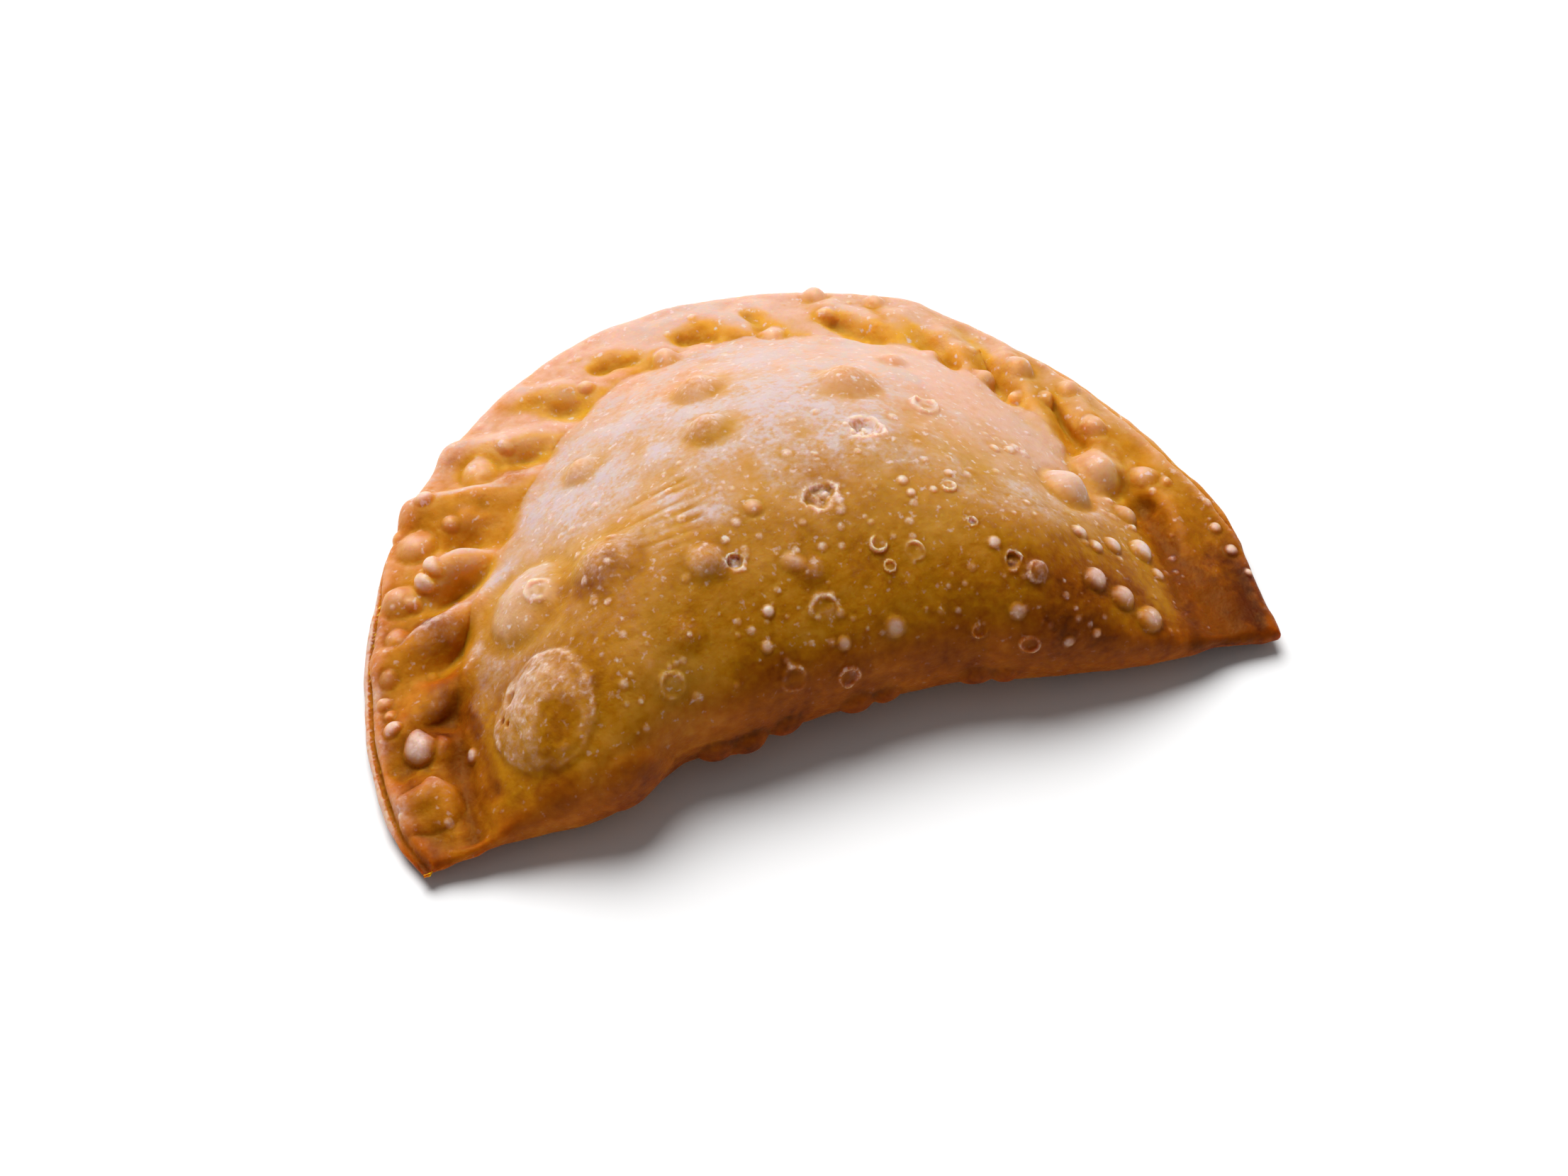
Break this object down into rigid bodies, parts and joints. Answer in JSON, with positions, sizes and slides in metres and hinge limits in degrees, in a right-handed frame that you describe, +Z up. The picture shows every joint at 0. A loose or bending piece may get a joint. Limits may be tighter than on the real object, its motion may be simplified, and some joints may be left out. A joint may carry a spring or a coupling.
{
  "type": "empanada",
  "caption": "Fried half-moon empanada: a blistered, golden-brown folded pasty with a domed belly and a slant-crimped round rim, lying on its flat underside.",
  "frame": {"origin": "centre of the bounding box in plan, on the floor under the belly", "axes": "+X from the left tip to the right tip along the fold, +Y from the fold back to the crimped rim, +Z up"},
  "size_m": [0.1406, 0.0934, 0.0302],
  "materials": {
    "crust": "satin, slightly oily fried crust"
  },
  "bodies": {
    "root": {"pasty": "crust"}
  },
  "joints": []
}
